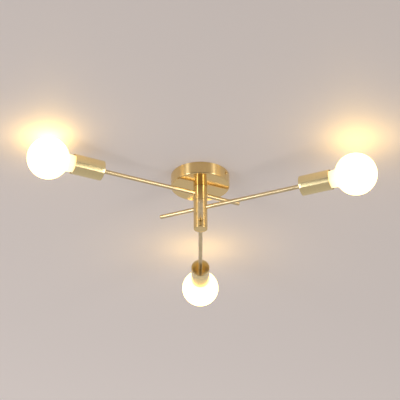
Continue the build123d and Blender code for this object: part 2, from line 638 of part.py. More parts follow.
def make_holder_contacts():
    """The brass screw shell, the sprung centre contact and the two screws that hold them."""
    start = INSERT_END + FACE_GAP
    outer, inner = SHELL_DIA / 2, SHELL_BORE / 2
    shell = turned_along_x(outline(
        (start, inner - SHELL_FLANGE), (start, outer), (THREAD_END, outer), (THREAD_END, inner),
        (start + SHELL_METAL, inner), (start + SHELL_METAL, inner - SHELL_FLANGE)))
    screw_reach = TERMINAL_SCREW_SPACING / 2
    notch = tube_along_x(start, start + 2 * SHELL_METAL, 0,
                         TERMINAL_SCREW_DIA / 2 + RUNNING_CLEARANCE)
    shell -= [Pos(0, side * screw_reach, 0) * notch for side in (-1, 1)]
    seat = start + SHELL_METAL
    screw = Pos(seat, 0, 0) * screw_blank(TERMINAL_SCREW_DIA, INSERT_LENGTH,
                                          TERMINAL_SCREW_HEAD_DIA, TERMINAL_SCREW_HEAD_HEIGHT)
    screws = [Pos(0, side * screw_reach, 0) * screw for side in (-1, 1)]
    metal, rise = CONTACT_METAL, LAMP_TIP - FACE_GAP
    foot, bend = -CONTACT_FOOT_REACH, -CONTACT_BEND_REACH
    leaf = outline((start, foot), (start, bend), (rise - metal, CONTACT_SLOPE_REACH),
                   (rise - metal, CONTACT_PAD_REACH), (rise, CONTACT_PAD_REACH),
                   (rise, CONTACT_SLOPE_REACH - 2 * metal), (start + metal, bend - metal),
                   (start + metal, foot))
    contact = extrude(Plane.XZ * leaf, CONTACT_WIDTH / 2, both=True)
    return [shell, contact] + screws


# --- globe lamp ----------------------------------------------------------------------------------

def bulb_profile(inset):
    """Half outline of the glass, drawn along X, moved in by the given wall."""
    ball_radius, neck_radius = GLOBE_DIA / 2 - inset, NECK_DIA / 2 - inset
    root_radius = CAP_SKIRT_DIA / 2 - CAP_METAL - FACE_GAP - inset
    flare = SKIRT_END + FACE_GAP
    neck = Polyline((NECK_START, 0), (NECK_START, root_radius), (flare, root_radius),
                    (flare + NECK_TAPER + inset, neck_radius), (GLOBE_CENTRE, neck_radius),
                    (GLOBE_CENTRE, 0), close=True)
    half_plane = Pos(GLOBE_CENTRE, GLOBE_DIA / 2) * Rectangle(3 * GLOBE_DIA, GLOBE_DIA)
    shape = make_face(neck) + (Pos(GLOBE_CENTRE, 0) * Circle(ball_radius)) & half_plane
    join = GLOBE_CENTRE - sqrt(ball_radius ** 2 - neck_radius ** 2)
    return soften(shape, NECK_FILLET + inset, (join, neck_radius))


def make_bulb_globe():
    """The opal glass: a ball, a filleted neck and the root that sits in the cap."""
    return turned_along_x(bulb_profile(0)) - turned_along_x(bulb_profile(GLASS_WALL))


def make_bulb_cap():
    """The screw cap: a thin metal shell, coned in at its back and widened at its skirt."""
    body, skirt, metal = CAP_DIA / 2, CAP_SKIRT_DIA / 2, CAP_METAL
    back = INSULATOR_DIA / 2
    cone_end, step_end = THREAD_START + CAP_CONE_LENGTH, THREAD_END + CAP_STEP_LENGTH
    return turned_along_x(outline(
        (CAP_BACK_END, back), (cone_end, body), (THREAD_END, body),
        (step_end, skirt), (SKIRT_END, skirt), (SKIRT_END, skirt - metal),
        (step_end + metal / 2, skirt - metal), (THREAD_END + metal / 2, body - metal),
        (cone_end + metal / 2, body - metal), (CAP_BACK_END + metal, back - metal)))


def make_bulb_insulator():
    """The black glass between the cap's shell and its centre contact."""
    rim = INSULATOR_DIA / 2 - CAP_METAL
    return turned_along_x(outline(
        (INSULATOR_START, 0), (INSULATOR_START, TIP_DIA / 2 + INSULATOR_RIM),
        (CAP_BACK_END - FACE_GAP, rim), (CAP_BACK_END + CAP_METAL + FACE_GAP, rim - CAP_METAL),
        (INSULATOR_END, rim - CAP_METAL), (INSULATOR_END, 0)))


def make_bulb_tip():
    """The soldered centre contact."""
    profile = outline((LAMP_TIP, 0), (LAMP_TIP, TIP_DIA / 2), (LAMP_TIP + TIP_HEIGHT, TIP_DIA / 2),
                      (LAMP_TIP + TIP_HEIGHT, 0))
    return turned_along_x(soften(profile, TIP_EDGE_RADIUS, (LAMP_TIP, TIP_DIA / 2)))


def make_bulb_led():
    """The driver in the cap, the stem above it and the board that carries the diodes."""
    start = INSULATOR_END + FACE_GAP
    driver = CAP_DIA / 2 - CAP_METAL - DRIVER_CLEARANCE
    stem, board = LED_STEM_DIA / 2, LED_BOARD_DIA / 2
    board_start = SKIRT_END + LED_BOARD_REACH
    return turned_along_x(outline(
        (start, 0), (start, driver), (start + DRIVER_LENGTH, driver),
        (start + DRIVER_LENGTH, stem), (board_start, stem), (board_start, board),
        (board_start + LED_BOARD_THICKNESS, board), (board_start + LED_BOARD_THICKNESS, 0)))


# --- the whole light --------------------------------------------------------------------------------

def one_part(piece):
    """Wrap a solid, or the solids of a group, for writing."""
    solids = []
    for item in piece if isinstance(piece, list) else [piece]:
        solids += list(item.solids())
    return solids[0] if len(solids) == 1 else Compound(children=solids)


def make_parts():
    """Every node of the light by its name."""
    parts = {
        "ceiling_bracket": make_bracket(),
        "ground_screw": make_ground_screw(),
        "earth_lead": make_earth_lead(),
        "canopy": make_canopy(),
        "canopy_side_screws": make_side_screws(),
        "terminal_block": make_terminal_block(),
        "stem_tube": make_stem_tube(),
        "stem_nuts": make_stem_nuts(),
        "stem_lock_washer": make_lock_washer(),
        "friction_washers": make_friction_washers(),
        "stem_spring_washer": make_spring_washer(),
        "stem_leads": make_stem_leads(),
        "stem_end_cap": make_end_cap(),
    }
    arm_pieces = {
        "arm_rod": make_arm_rod(),
        "tail_rod": make_tail_rod(),
        "arm_lead": make_arm_lead(),
        "socket_cup": make_socket_cup(),
        "cup_nut": make_cup_nut(),
        "holder_dome": make_holder_dome(),
        "holder_insert": make_holder_insert(),
        "holder_ring": make_holder_ring(),
        "holder_contacts": make_holder_contacts(),
        "bulb_globe": make_bulb_globe(),
        "bulb_cap": make_bulb_cap(),
        "bulb_insulator": make_bulb_insulator(),
        "bulb_tip": make_bulb_tip(),
        "bulb_led": make_bulb_led(),
    }
    for index in range(ARM_COUNT):
        number = index + 1
        parts[f"hub_{number}"] = make_hub(index)
        for name, piece in arm_pieces.items():
            pieces = piece if isinstance(piece, list) else [piece]
            parts[f"{name}_{number}"] = [placed_on_arm(index, item) for item in pieces]
    return parts


os.makedirs("parts", exist_ok=True)
for name, piece in make_parts().items():
    export_step(one_part(piece), f"parts/{name}.step")
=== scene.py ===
"""Semi flush ceiling light: the looks of the light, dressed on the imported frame.

Lengths are in metres. A turned piece is drawn along Z as rings of (distance, radius), and
is then laid along its arm, so its distances are those from the stem's axis.
"""
import json
from math import asin, atan2, cos, degrees, pi, radians, sin, sqrt

import bpy
from bpy.props import FloatProperty, FloatVectorProperty, PointerProperty
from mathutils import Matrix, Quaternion, Vector


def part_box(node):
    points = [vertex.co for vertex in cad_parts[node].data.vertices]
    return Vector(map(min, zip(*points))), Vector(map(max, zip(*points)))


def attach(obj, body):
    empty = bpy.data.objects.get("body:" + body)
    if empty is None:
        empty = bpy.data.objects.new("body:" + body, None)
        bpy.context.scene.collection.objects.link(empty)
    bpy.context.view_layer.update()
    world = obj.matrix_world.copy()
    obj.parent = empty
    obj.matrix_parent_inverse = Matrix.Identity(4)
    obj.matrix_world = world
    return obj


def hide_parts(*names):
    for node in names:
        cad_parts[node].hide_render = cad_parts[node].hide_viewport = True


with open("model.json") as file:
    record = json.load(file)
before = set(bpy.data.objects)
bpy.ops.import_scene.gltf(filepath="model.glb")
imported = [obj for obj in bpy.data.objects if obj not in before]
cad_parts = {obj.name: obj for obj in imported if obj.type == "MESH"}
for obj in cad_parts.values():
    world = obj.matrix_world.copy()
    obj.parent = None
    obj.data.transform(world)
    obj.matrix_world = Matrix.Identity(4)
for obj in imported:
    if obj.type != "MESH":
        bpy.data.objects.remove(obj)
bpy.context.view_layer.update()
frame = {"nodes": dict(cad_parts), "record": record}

bl_info = {
    "name": "Semi Flush Ceiling Light",
    "version": (1, 0, 0),
    "blender": (4, 5, 0),
    "location": "3D View > Sidebar > Ceiling Light",
    "description": "Models the turned brass, the cups and the lamps of a ceiling light",
    "category": "Object",
}

MM = 0.001

# each arm: its direction in degrees and its height
ARMS = {1: (207.0, -0.042), 2: (335.5, -0.074), 3: (90.0, -0.106)}
# direction of the bracket's strap, in degrees
BRACKET_AZIMUTH = 331.0
# from the stem's axis to a rod's shoulder in its seat
ROD_SEAT = 11.5 * MM
# how far a rolled thread is sunk into its core, so that no gap shows
THREAD_SINK = 0.02 * MM
# height of the marks that a tool or a mould leaves
MARK_HEIGHT = 0.1 * MM

SEGMENTS = 128
ARC_STEPS = 8
SMOOTH_ANGLE = radians(35)
# a turned piece's pole is drawn as a tiny ring, which the merge then closes
POLE_RADIUS = 0.002 * MM
MERGE_DISTANCE = 0.01 * MM


def linear(hex_colour, alpha=None):
    """A colour written as sRGB hex, as the linear values that shaders take."""
    channels = [int(hex_colour[i:i + 2], 16) / 255 for i in (1, 3, 5)]
    straight = [c / 12.92 if c <= 0.04045 else ((c + 0.055) / 1.055) ** 2.4 for c in channels]
    return tuple(straight) if alpha is None else tuple(straight) + (alpha,)


def length_property(name, description, default):
    """A length that a user can change."""
    return FloatProperty(name=name, description=description, default=default, min=0.0,
                         unit="LENGTH", precision=4)


def colour_property(name, description, hex_colour):
    """A colour that a user can change, with its default written as sRGB hex."""
    return FloatVectorProperty(name=name, description=description, subtype="COLOR", size=3,
                               default=linear(hex_colour), min=0.0, max=1.0)


class CeilingLightSizes(bpy.types.PropertyGroup):
    """The sizes of the light's visible pieces."""
    canopy_diameter: length_property("Canopy diameter", "Width of the canopy", 120 * MM)
    canopy_depth: length_property("Canopy depth", "Height of the canopy's wall", 26 * MM)
    canopy_wall: length_property("Canopy wall", "Sheet thickness of the canopy", 1.2 * MM)
    canopy_edge: length_property("Canopy edge", "Radius of the canopy's lower edge", 3 * MM)
    stem_diameter: length_property("Stem diameter", "Width of the stem's blocks", 28 * MM)
    block_pitch: length_property("Block pitch", "Height of a block with its seam", 32 * MM)
    block_seam: length_property("Block seam", "Gap between two blocks", 0.25 * MM)
    end_cap: length_property("End cap", "Thickness of the stem's end cap", 3 * MM)
    rod_diameter: length_property("Rod diameter", "Width of the arms and tails", 8.5 * MM)
    tail_reach: length_property("Tail reach", "From the stem's axis to a tail's end", 90 * MM)
    cup_diameter: length_property("Cup diameter", "Width of a socket cup", 40 * MM)
    cup_length: length_property("Cup length", "Length of a socket cup", 61 * MM)
    cup_back: length_property("Cup back", "From the stem's axis to a cup's back", 215.5 * MM)
    globe_diameter: length_property("Globe diameter", "Width of a lamp's ball", 81 * MM)
    globe_centre: length_property("Globe centre", "From the stem's axis to a ball", 325.8 * MM)
    neck_diameter: length_property("Neck diameter", "Width of a lamp's neck", 33.5 * MM)
    thread_pitch: length_property("Cap thread pitch", "Rise of a turn of the cap", 3.629 * MM)


class CeilingLightColours(bpy.types.PropertyGroup):
    """The colours of the light and of its stage."""
    polished_brass: colour_property("Polished brass", "Canopy and stem", "#F8DA98")
    rod_brass: colour_property("Rod brass", "Arms and tails", "#E2CC9E")
    cup_brass: colour_property("Cup brass", "Socket cups", "#F7E4AC")
    plain_brass: colour_property("Plain brass", "Tube, nuts and contacts", "#D0AC5E")
    zinc_steel: colour_property("Zinc plated steel", "Bracket and washers", "#B9BDC0")
    nickel: colour_property("Nickel plate", "Screw caps of the lamps", "#C9C6BE")
    opal: colour_property("Opal glass", "Lamp glass when unlit", "#F7F3EA")
    glow: colour_property("Lamp light", "Light of the lamps", "#FFD676")
    neck_glow: colour_property("Neck light", "Light of the lamps' necks", "#FFEABC")
    phenolic: colour_property("Phenolic", "Moulded lampholder", "#1B1917")
    porcelain: colour_property("Porcelain", "Insert of the lampholder", "#E9E4D8")
    polyamide: colour_property("Polyamide", "Terminal block and washers", "#EAE7DC")
    sleeve: colour_property("Lead sleeve", "Sleeves of the leads", "#E8E3D8")
    earth_green: colour_property("Earth green", "Sleeve of the earth lead", "#3F8F3A")
    earth_yellow: colour_property("Earth yellow", "Stripe of the earth lead", "#E6CF3C")
    ceiling: colour_property("Ceiling", "Paint of the ceiling", "#C8C0BC")
    card: colour_property("Grey card", "Card behind the camera", "#9A928B")


# --- modelling ---------------------------------------------------------------------------------

def rounding(centre, radius, start, end, steps=ARC_STEPS):
    """Rings along an arc about (distance, radius), its angles in degrees from +distance."""
    angles = [radians(start + (end - start) * i / steps) for i in range(steps + 1)]
    return [(centre[0] + radius * cos(a), centre[1] + radius * sin(a)) for a in angles]


def spaced(start, end, radius, steps):
    """Rings of one radius at even distances."""
    return [(start + (end - start) * i / steps, radius) for i in range(steps + 1)]


def end_piece(name):
    """Leaves edit mode with the doubles merged and the faces turned outwards."""
    bpy.ops.mesh.select_all(action="SELECT")
    bpy.ops.mesh.remove_doubles(threshold=MERGE_DISTANCE)
    bpy.ops.mesh.normals_make_consistent(inside=False)
    bpy.ops.object.mode_set(mode="OBJECT")
    piece = bpy.context.active_object
    piece.name = piece.data.name = name
    return piece


def turned(name, rings, ring_shaped=False, segments=SEGMENTS):
    """A turned piece along Z: a circle is extruded from ring to ring and scaled to fit.

    It runs from pole to pole, or back to its first ring where it is ring shaped.
    """
    rings = [(distance, max(radius, POLE_RADIUS)) for distance, radius in rings]
    distance, radius = rings[0]
    bpy.ops.object.select_all(action="DESELECT")
    bpy.ops.mesh.primitive_circle_add(vertices=segments, radius=radius,
                                      location=(0, 0, distance))
    bpy.ops.object.mode_set(mode="EDIT")
    bpy.ops.mesh.select_all(action="SELECT")
    for next_distance, next_radius in rings[1:] + (rings[:1] if ring_shaped else []):
        bpy.ops.mesh.extrude_edges_move(
            TRANSFORM_OT_translate={"value": (0, 0, next_distance - distance)})
        scale = next_radius / radius
        bpy.ops.transform.resize(value=(scale, scale, 1),
                                 center_override=(0, 0, next_distance))
        distance, radius = next_distance, next_radius
    return end_piece(name)


def rolled_thread(name, start, turns, pitch, root, crest, segments=64, points=8):
    """A rolled thread along Z: one wave of its outline, wound up by a Screw modifier."""
    bpy.ops.object.select_all(action="DESELECT")
    bpy.ops.mesh.primitive_plane_add(size=MM)
    bpy.ops.object.mode_set(mode="EDIT")
    bpy.ops.mesh.select_all(action="SELECT")
    bpy.ops.mesh.merge(type="CENTER")
    bpy.ops.transform.translate(value=(root, 0, start))
    middle, swing = (root + crest) / 2, (crest - root) / 2
    reach = root
    for i in range(1, points + 1):
        next_reach = middle - swing * cos(2 * pi * i / points)
        bpy.ops.mesh.extrude_vertices_move(
            TRANSFORM_OT_translate={"value": (next_reach - reach, 0, pitch / points)})
        reach = next_reach
    bpy.ops.object.mode_set(mode="OBJECT")
    piece = bpy.context.active_object
    wound = piece.modifiers.new("Thread", "SCREW")
    wound.angle = 2 * pi
    wound.screw_offset = pitch
    wound.iterations = turns
    wound.steps = wound.render_steps = segments
    bpy.ops.object.modifier_apply(modifier=wound.name)
    bpy.ops.object.mode_set(mode="EDIT")
    return end_piece(name)


def joined(name, pieces):
    """Several pieces as one object."""
    bpy.ops.object.select_all(action="DESELECT")
    for piece in pieces:
        piece.select_set(True)
    bpy.context.view_layer.objects.active = pieces[0]
    bpy.ops.object.join()
    piece = bpy.context.active_object
    piece.name = piece.data.name = name
    return piece


def arm_direction(azimuth):
    """The level direction of an azimuth in degrees."""
    return Vector((cos(radians(azimuth)), sin(radians(azimuth)), 0))


def select_only(piece):
    """Makes a piece the only selected object and the active one."""
    bpy.ops.object.select_all(action="DESELECT")
    piece.select_set(True)
    bpy.context.view_layer.objects.active = piece


def cut(piece, radius, start, end, azimuth, height):
    """Cuts a round hole along an arm's direction, between two distances from the axis."""
    bpy.ops.object.select_all(action="DESELECT")
    bpy.ops.mesh.primitive_cylinder_add(
        vertices=48, radius=radius, depth=end - start, rotation=(0, pi / 2, radians(azimuth)),
        location=arm_direction(azimuth) * (start + end) / 2 + Vector((0, 0, height)))
    drill = bpy.context.active_object
    hole = piece.modifiers.new("Hole", "BOOLEAN")
    hole.operation = "DIFFERENCE"
    hole.solver = "EXACT"
    hole.object = drill
    select_only(piece)
    bpy.ops.object.modifier_apply(modifier=hole.name)
    bpy.data.meshes.remove(drill.data)


def laid_along_arm(piece, arm):
    """Turns a piece drawn along Z into its arm's direction and lowers it to the arm."""
    azimuth, height = ARMS[arm]
    piece.rotation_euler = (0, pi / 2, radians(azimuth))
    piece.location = arm_direction(azimuth) * piece.location.z + Vector((0, 0, height))


def dress(piece, body, slot, material, *nodes):
    """Fixes a finished piece: its place in its mesh, its shading, finish and body."""
    select_only(piece)
    bpy.ops.object.transform_apply(location=True, rotation=True, scale=True)
    bpy.ops.object.shade_smooth_by_angle(angle=SMOOTH_ANGLE)
    piece.data.materials.clear()
    piece.data.materials.append(material)
    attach(piece, body)
    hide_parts(*nodes)


# --- materials -----------------------------------------------------------------------------------

def add_node(tree, kind, settings=None, values=None, links=None):
    """Adds a node with its settings, its socket values and the sockets linked to it."""
    node = tree.nodes.new(kind)
    for name, value in (settings or {}).items():
        setattr(node, name, value)
    for name, value in (values or {}).items():
        node.inputs[name].default_value = value
    for name, source in (links or {}).items():
        tree.links.new(source, node.inputs[name])
    return node


def new_material(name):
    """A new material with its node tree and its shader."""
    material = bpy.data.materials.new(name)
    material.use_nodes = True
    return material, material.node_tree, material.node_tree.nodes["Principled BSDF"]


def object_place(tree, azimuth=0.0, height=0.0):
    """Object coordinates, turned so that X runs along an arm and Z is 0 on its axis."""
    place = add_node(tree, "ShaderNodeTexCoord")
    return add_node(tree, "ShaderNodeMapping", {"vector_type": "TEXTURE"},
                    {"Location": (0, 0, height), "Rotation": (0, 0, radians(azimuth))},
                    {"Vector": place.outputs["Object"]})


def grained(tree, place, grain, detail=2.0):
    """Noise whose grain is given as a length."""
    return add_node(tree, "ShaderNodeTexNoise", None, {"Scale": 1 / grain, "Detail": detail},
                    {"Vector": place.outputs["Vector"]})


def round_lines(tree, place, about, spacing, detail=2.0):
    """Noise that is the same all the way round an axis, as a lathe's tool leaves it."""
    parts = add_node(tree, "ShaderNodeSeparateXYZ", None, None,
                     {"Vector": place.outputs["Vector"]})
    across = "XY" if about == "Z" else "YZ"
    flat = add_node(tree, "ShaderNodeCombineXYZ", None, None,
                    {axis: parts.outputs[axis] for axis in across})
    reach = add_node(tree, "ShaderNodeVectorMath", {"operation": "LENGTH"}, None,
                     {0: flat.outputs["Vector"]})
    turned_place = add_node(tree, "ShaderNodeCombineXYZ", None, None,
                            {"X": reach.outputs["Value"], "Z": parts.outputs[about]})
    return grained(tree, turned_place, spacing, detail)


def turning_direction(tree, place, about, azimuth=0.0):
    """The direction that a lathe's tool runs in at each point, as a shader's tangent."""
    parts = add_node(tree, "ShaderNodeSeparateXYZ", None, None,
                     {"Vector": place.outputs["Vector"]})
    ahead, aside = {"Z": ("X", "Y"), "X": ("Y", "Z")}[about]
    back = add_node(tree, "ShaderNodeMath", {"operation": "MULTIPLY"}, {1: -1.0},
                    {0: parts.outputs[aside]})
    round_about = add_node(tree, "ShaderNodeCombineXYZ", None, None,
                           {ahead: back.outputs["Value"], aside: parts.outputs[ahead]})
    turned_back = add_node(tree, "ShaderNodeVectorRotate", {"rotation_type": "Z_AXIS"},
                           {"Angle": radians(azimuth)}, {"Vector": round_about.outputs["Vector"]})
    return add_node(tree, "ShaderNodeVectorTransform",
                    {"vector_type": "VECTOR", "convert_from": "OBJECT", "convert_to": "WORLD"},
                    None, {"Vector": turned_back.outputs["Vector"]})


def spread(tree, source, low, high):
    """A factor of 0 to 1 as a value between two others."""
    return add_node(tree, "ShaderNodeMapRange", None, {"To Min": low, "To Max": high},
                    {"Value": source})


def flatness(tree, cosine):
    """A factor of 1 where a face looks along an axis, either way, and of 0 on the walls."""
    level = add_node(tree, "ShaderNodeMath", {"operation": "ABSOLUTE"}, None, {0: cosine})
    return add_node(tree, "ShaderNodeMapRange", None, {"From Min": 0.7, "From Max": 0.98},
                    {"Value": level.outputs["Value"]})


def two_tones(tree, shader, pattern, dark, light, dark_end=0.3, light_start=0.7):
    """A base colour that runs from one tone to another with a pattern."""
    tone = add_node(tree, "ShaderNodeValToRGB", None, None, {"Fac": pattern.outputs["Fac"]})
    first, last = tone.color_ramp.elements
    first.position, first.color = dark_end, (*dark, 1)
    last.position, last.color = light_start, (*light, 1)
    tree.links.new(tone.outputs["Color"], shader.inputs["Base Color"])


def marks(tree, shader, pattern, strength):
    """Low bumps that follow a pattern."""
    bump = add_node(tree, "ShaderNodeBump", None, {"Strength": strength, "Distance": MARK_HEIGHT},
                    {"Height": pattern.outputs["Fac"]})
    tree.links.new(bump.outputs["Normal"], shader.inputs["Normal"])


def lacquer(shader, roughness):
    """A clear lacquer: a second reflection over the metal's own, not coloured by it."""
    shader.inputs["Coat Weight"].default_value = 0.5
    shader.inputs["Coat Roughness"].default_value = roughness


def lathe_finish(tree, shader, strength, place, about, azimuth=0.0):
    """The lathe's lines are too fine to show: they draw reflections out across themselves."""
    shader.inputs["Anisotropic"].default_value = strength
    shader.inputs["Anisotropic Rotation"].default_value = 0.25
    lathe = turning_direction(tree, place, about, azimuth)
    tree.links.new(lathe.outputs["Vector"], shader.inputs["Tangent"])


def polished_brass(colours):
    """Brass, spun or turned, buffed and lacquered: near mirror reflections that the buffing
    leaves a little soft, with faint round lines and the smears of handling."""
    material, tree, shader = new_material("Polished lacquered brass")
    shader.inputs["Base Color"].default_value = (*colours.polished_brass, 1)
    shader.inputs["Metallic"].default_value = 1.0
    lacquer(shader, 0.1)
    place = object_place(tree)
    smears = grained(tree, place, 30 * MM, 3.0)
    walls = spread(tree, smears.outputs["Fac"], 0.29, 0.35)
    # a flat end is lapped, so it mirrors more clearly than the turned walls
    flats = spread(tree, smears.outputs["Fac"], 0.09, 0.14)
    facing = add_node(tree, "ShaderNodeNewGeometry")
    upright = add_node(tree, "ShaderNodeSeparateXYZ", None, None,
                       {"Vector": facing.outputs["Normal"]})
    flat = flatness(tree, upright.outputs["Z"])
    rough = add_node(tree, "ShaderNodeMix", None, None,
                     {"Factor": flat.outputs["Result"], "A": walls.outputs["Result"],
                      "B": flats.outputs["Result"]})
    tree.links.new(rough.outputs["Result"], shader.inputs["Roughness"])
    lathe_finish(tree, shader, 1.0, place, "Z")
    # buffing lines are finer than 0.1 mm; 0.9 mm is drawn so that close views show them
    marks(tree, shader, round_lines(tree, place, "Z", 0.9 * MM), 0.06)
    return material


def brushed_brass(colours, arm, kind):
    """Brass brushed along a rod or round a cup and lacquered: soft, wide reflections that
    fine lines break up."""
    azimuth, height = ARMS[arm]
    material, tree, shader = new_material(f"Brushed brass, {kind} {arm}")
    shader.inputs["Metallic"].default_value = 1.0
    # the lacquer is duller here, and whitens the streak of light
    lacquer(shader, 0.2)
    place = object_place(tree, azimuth, height)
    # brushing is about 0.1 mm wide; 0.6 mm is drawn so that close views show it
    line_width = 0.6 * MM
    if kind == "cup":
        brass, smoothest, dullest = Vector(colours.cup_brass), 0.19, 0.25
        lines = round_lines(tree, place, "X", line_width, 3.0)
    else:
        brass, smoothest, dullest = Vector(colours.rod_brass), 0.24, 0.32
        drawn = add_node(tree, "ShaderNodeMapping", None, {"Scale": (0.02, 1, 1)},
                         {"Vector": place.outputs["Vector"]})
        lines = grained(tree, drawn, line_width, 3.0)
    two_tones(tree, shader, lines, brass * 0.93, brass * 1.03)
    rough = spread(tree, lines.outputs["Fac"], smoothest, dullest)
    if kind == "cup":
        # a cup's back is lapped flat, and mirrors its rod
        facing = add_node(tree, "ShaderNodeNewGeometry")
        along = add_node(tree, "ShaderNodeVectorMath", {"operation": "DOT_PRODUCT"},
                         {1: arm_direction(azimuth)}, {0: facing.outputs["Normal"]})
        flat = flatness(tree, along.outputs["Value"])
        rough = add_node(tree, "ShaderNodeMix", None, {"B": 0.14},
                         {"Factor": flat.outputs["Result"], "A": rough.outputs["Result"]})
        lathe_finish(tree, shader, 0.35, place, "X", azimuth)
    tree.links.new(rough.outputs["Result"], shader.inputs["Roughness"])
    marks(tree, shader, lines, 0.04)
    return material


def plain_metal(name, colour, roughness, spread_of_roughness, grain):
    """A plated or machined metal: even reflections with a mottled or grained roughness."""
    material, tree, shader = new_material(name)
    shader.inputs["Metallic"].default_value = 1.0
    mottle = grained(tree, object_place(tree), grain, 4.0)
    two_tones(tree, shader, mottle, Vector(colour) * 0.88, colour)
    rough = spread(tree, mottle.outputs["Fac"], roughness - spread_of_roughness,
                   roughness + spread_of_roughness)
    tree.links.new(rough.outputs["Result"], shader.inputs["Roughness"])
    marks(tree, shader, mottle, 0.08)
    return material


def moulded(name, colour, roughness, grain, strength):
    """A moulded, fired or extruded body: not metallic, with a fine grain in its surface."""
    material, tree, shader = new_material(name)
    shader.inputs["Roughness"].default_value = roughness
    specks = grained(tree, object_place(tree), grain, 4.0)
    two_tones(tree, shader, specks, Vector(colour) * 0.9, colour, 0.35, 0.65)
    marks(tree, shader, specks, strength)
    return material


def opal_glass(sizes, colours, arm):
    """Opal glass, blown and satin etched, lit from inside: a nearly white glow that turns
    weaker from the ball's middle back to the neck, where the cap shades it."""
    azimuth, height = ARMS[arm]
    material, tree, shader = new_material(f"Lit opal glass {arm}")
    shader.inputs["Base Color"].default_value = (*colours.opal, 1)
    shader.inputs["Roughness"].default_value = 0.25
    place = object_place(tree, azimuth, height)
    parts = add_node(tree, "ShaderNodeSeparateXYZ", None, None,
                     {"Vector": place.outputs["Vector"]})
    mouth = sizes.cup_back + sizes.cup_length
    dimmest = mouth - 2 * MM
    along = add_node(tree, "ShaderNodeMapRange", None,
                     {"From Min": dimmest, "From Max": sizes.globe_centre},
                     {"Value": parts.outputs["X"]})
    # clouds in the opal, about 20 mm wide and hardly stronger than the glass between them
    clouds = grained(tree, place, 20 * MM)
    cloud = spread(tree, clouds.outputs["Fac"], -0.04, 0.04)
    lit = add_node(tree, "ShaderNodeMath", {"operation": "ADD", "use_clamp": True}, None,
                   {0: along.outputs["Result"], 1: cloud.outputs["Result"]})
    tone = add_node(tree, "ShaderNodeValToRGB", None, None, {"Fac": lit.outputs["Value"]})
    tone.color_ramp.interpolation = "EASE"
    neck, ball = tone.color_ramp.elements
    neck_share = 0.1
    neck.color = (*(Vector(colours.neck_glow) * neck_share), 1)
    ball.color = (*colours.glow, 1)
    tree.links.new(tone.outputs["Color"], shader.inputs["Emission Color"])
    shader.inputs["Emission Strength"].default_value = 7.5
    return material


def earth_sleeve(colours):
    """Extruded PVC in green with a yellow stripe, as an earth lead has."""
    material, tree, shader = new_material("Striped PVC sleeve")
    shader.inputs["Roughness"].default_value = 0.45
    place = object_place(tree, BRACKET_AZIMUTH)
    stripe_width = 7 * MM
    stripes = add_node(tree, "ShaderNodeTexWave", {"bands_direction": "X"},
                       {"Scale": 1 / stripe_width / (2 * pi)},
                       {"Vector": place.outputs["Vector"]})
    two_tones(tree, shader, stripes, colours.earth_green, colours.earth_yellow, 0.48, 0.52)
    return material


# --- the light's pieces ----------------------------------------------------------------------------

class BuildCanopy(bpy.types.Operator):
    """Spin the canopy: a shallow cup with a rounded lower edge and a trimmed rim"""
    bl_idname = "ceiling_light.canopy"
    bl_label = "Canopy"
    bl_options = {"REGISTER", "UNDO"}

    def execute(self, context):
        sizes = context.scene.ceiling_light_sizes
        outer, depth = sizes.canopy_diameter / 2, sizes.canopy_depth
        wall, edge = sizes.canopy_wall, sizes.canopy_edge
        hole, rim = 5.2 * MM, 0.3 * MM
        rings = [(-depth, hole), (-depth, outer / 2), (-depth, outer - edge)]
        rings += rounding((-depth + edge, outer - edge), edge, 180, 90)[1:]
        rings += spaced(-depth + edge, -rim, outer, 8)[1:]
        rings += [(0, outer - rim), (0, outer - wall + rim), (-rim, outer - wall)]
        rings += rounding((-depth + edge, outer - edge), edge - wall, 90, 180)
        rings += [(-depth + wall, outer / 2), (-depth + wall, hole)]
        canopy = turned("canopy_shell", rings, ring_shaped=True, segments=192)
        dress(canopy, "mount", "polished_brass", polished_brass(context.scene.ceiling_light_colours),
              "canopy")
        return {"FINISHED"}


